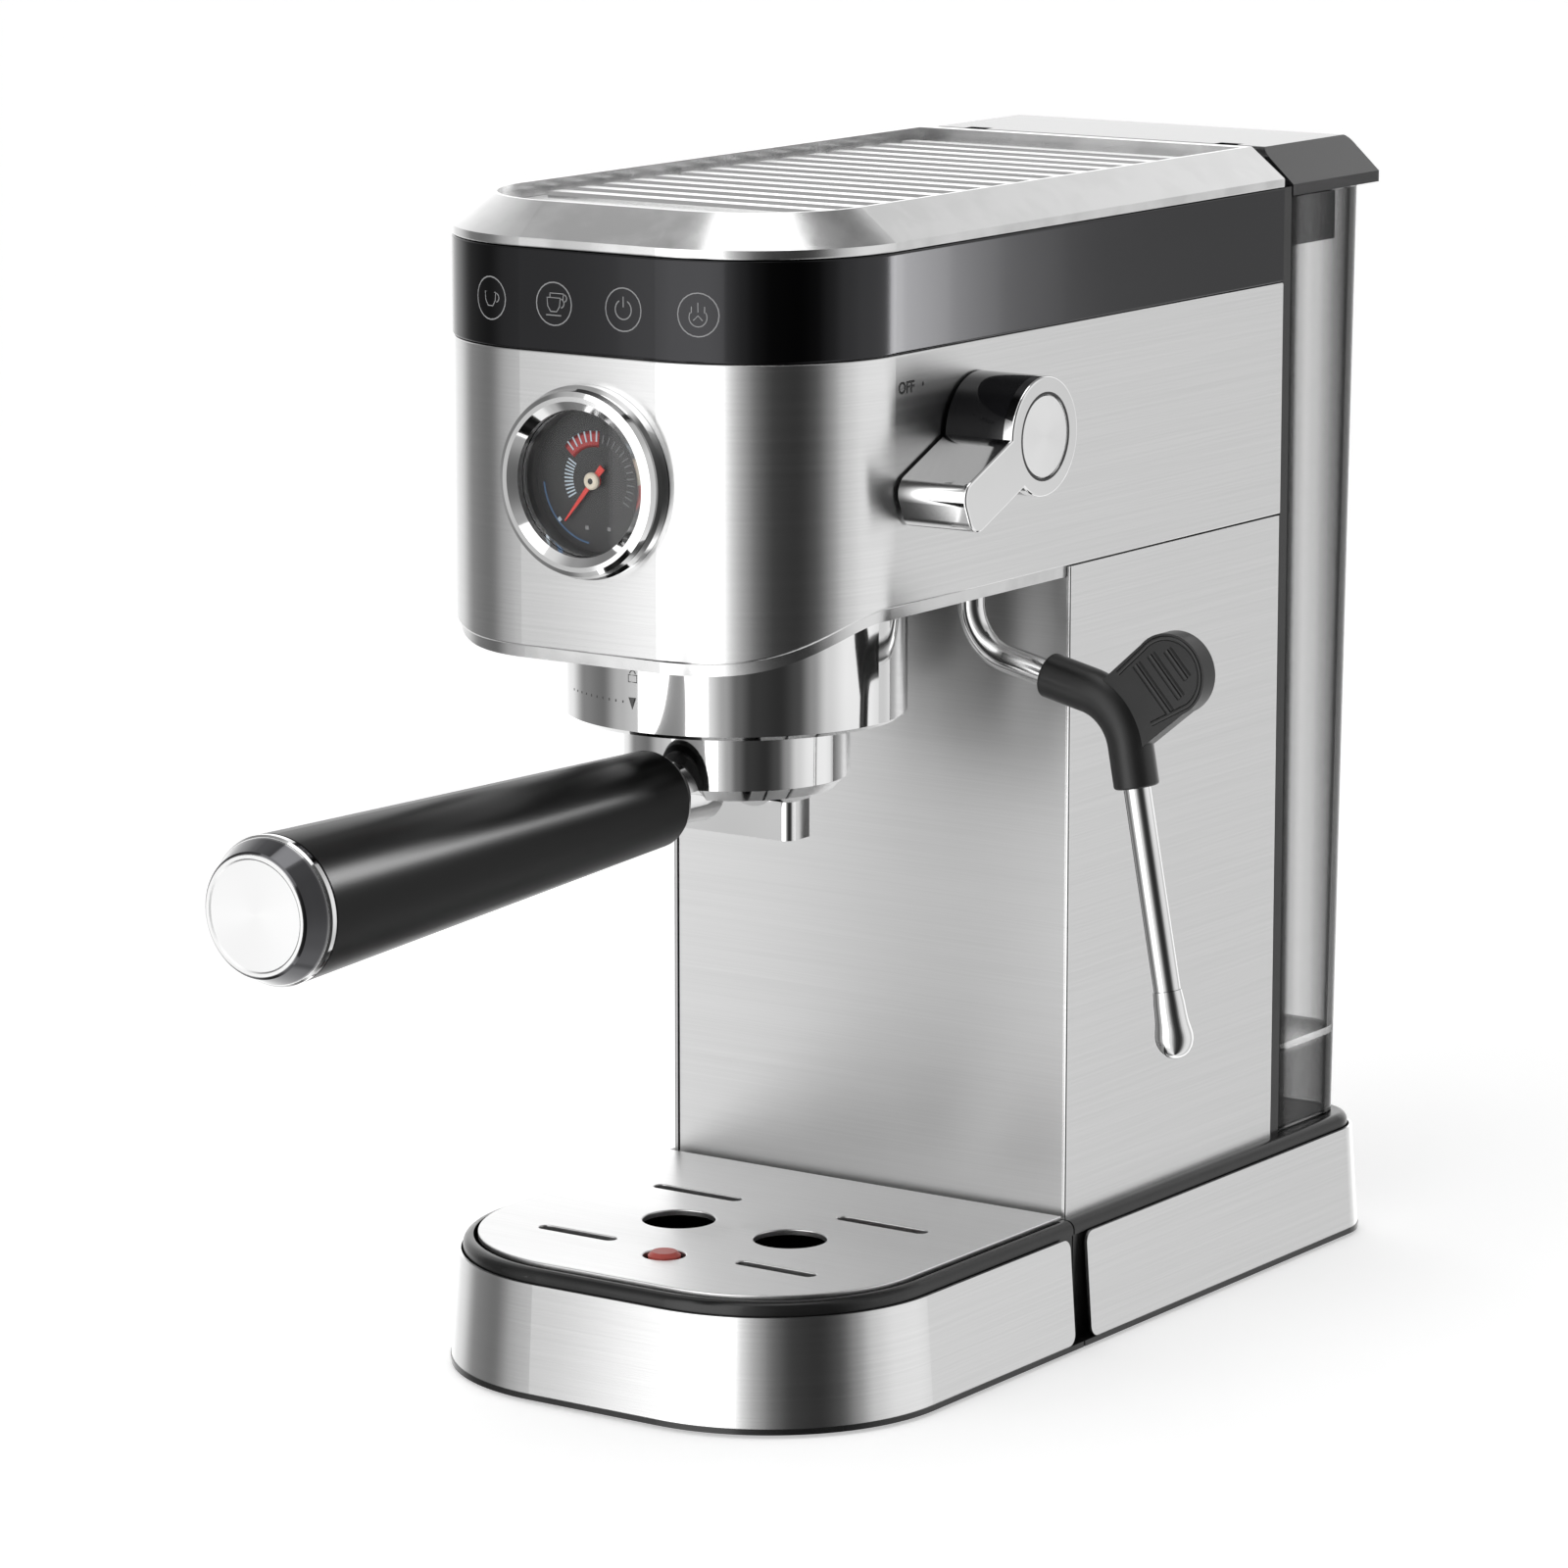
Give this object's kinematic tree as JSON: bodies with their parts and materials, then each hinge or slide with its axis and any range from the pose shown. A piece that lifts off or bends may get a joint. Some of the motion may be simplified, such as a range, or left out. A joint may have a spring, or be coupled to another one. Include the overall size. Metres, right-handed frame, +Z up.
{
  "type": "espresso machine",
  "caption": "Slim pump espresso machine: head over a drip tray, locking filter holder, pressure gauge, steam knob and wand, rear water tank with lid.",
  "frame": {"origin": "middle of the whole machine in plan, on the counter", "axes": "+Z up, +Y to the back where the tank is, the handle points to -Y, +X is the side with the steam knob and wand"},
  "size_m": [0.1872, 0.4102, 0.304],
  "materials": {
    "steel_brushed": "fine horizontal brushing",
    "steel_satin": "satin",
    "silver_satin": "satin",
    "chrome": "polished",
    "gloss_black": "polished",
    "black_plastic": "fine texture",
    "grip_black": "satin lacquer",
    "rubber_black": "matt",
    "hose_silicone": "silicone",
    "tank_smoke": "clear smoked",
    "lid_smoke": "dark smoked",
    "gauge_glass": "clear",
    "dial_black": "printed",
    "needle_red": "gloss",
    "float_red": "gloss",
    "cast_aluminium": "cast",
    "steel_plain": "plain",
    "board_green": "satin",
    "pump_grey": "moulded",
    "brass": "turned"
  },
  "bodies": {
    "root": {"head_shell": "steel_brushed", "left_side_panel": "steel_brushed", "right_side_panel": "steel_brushed", "splash_panel": "steel_brushed", "base_band": "steel_brushed", "cup_warmer": "steel_satin", "top_cover": "silver_satin", "head_underside": "silver_satin", "group_collar": "chrome", "gauge_bezel": "chrome", "control_band": "gloss_black", "base_pan": "black_plastic", "base_deck": "black_plastic", "rear_panel": "black_plastic", "cord_gland": "black_plastic", "tank_seat": "black_plastic", "wand_socket": "black_plastic", "gauge_body": "black_plastic", "thermostats": "black_plastic", "rubber_feet": "rubber_black", "group_gasket": "rubber_black", "pump_mounts": "rubber_black", "inlet_hose": "hose_silicone", "pressure_hose": "hose_silicone", "gauge_glass": "gauge_glass", "gauge_dial": "dial_black", "group_head": "cast_aluminium", "boiler_base": "cast_aluminium", "boiler_cover": "cast_aluminium", "chassis": "steel_plain", "screws": "steel_plain", "shower_screen": "steel_plain", "control_board": "board_green", "touch_board": "board_green", "pump": "pump_grey", "steam_valve": "brass"},
    "drip_tray": {"tray_tub": "black_plastic", "tray_band": "steel_brushed"},
    "drip_plate": {"drip_plate": "steel_satin"},
    "float": {"float": "float_red"},
    "filter_holder": {"portafilter_body": "chrome", "spout": "chrome", "filter_basket": "steel_plain", "basket_spring": "steel_plain", "handle_neck": "black_plastic", "handle_grip": "grip_black", "grip_ring": "chrome", "end_cap": "chrome"},
    "steam_knob": {"knob_body": "gloss_black", "knob_lever": "chrome", "knob_disc": "steel_satin", "valve_stem": "steel_plain"},
    "steam_wand": {"wand_tube": "chrome", "wand_grip": "rubber_black", "wand_nozzle": "chrome"},
    "water_tank": {"water_tank": "tank_smoke", "tank_valve": "lid_smoke"},
    "tank_lid": {"tank_lid": "lid_smoke"},
    "gauge_needle": {"gauge_needle": "needle_red"}
  },
  "joints": [
    {"name": "tray_slide", "type": "slide", "parent": "root", "child": "drip_tray", "axis": [0, -1, 0], "range_m": [0, 0.15]},
    {"name": "plate_lift", "type": "slide", "parent": "drip_tray", "child": "drip_plate", "axis": [0, 0, 1], "range_m": [0, 0.05]},
    {"name": "float_rise", "type": "slide", "parent": "drip_tray", "child": "float", "axis": [0, 0, 1], "range_m": [0, 0.008]},
    {"name": "holder_turn", "type": "hinge", "parent": "root", "child": "filter_holder", "pos_m": [-0.0236, -0.01101, 0.1776], "axis": [0, 0, 1], "range_deg": [-45, 0]},
    {"name": "steam_knob_turn", "type": "hinge", "parent": "root", "child": "steam_knob", "pos_m": [0.0389, 0.00399, 0.246], "axis": [1, 0, 0], "range_deg": [-51, 79]},
    {"name": "wand_swivel", "type": "hinge", "parent": "root", "child": "steam_wand", "pos_m": [0.0229, 0.02699, 0.206], "axis": [0, 0, 1], "range_deg": [-70, 15]},
    {"name": "tank_lift", "type": "slide", "parent": "root", "child": "water_tank", "axis": [0, 0, 1], "range_m": [0, 0.12]},
    {"name": "lid_hinge", "type": "hinge", "parent": "water_tank", "child": "tank_lid", "pos_m": [-0.0236, 0.16089, 0.3014], "axis": [1, 0, 0], "range_deg": [0, 85]},
    {"name": "needle_turn", "type": "hinge", "parent": "root", "child": "gauge_needle", "pos_m": [-0.0231, -0.07401, 0.2373], "axis": [0, 1, 0], "range_deg": [0, 262], "stiffness_Nm_per_rad": 0.00002}
  ]
}
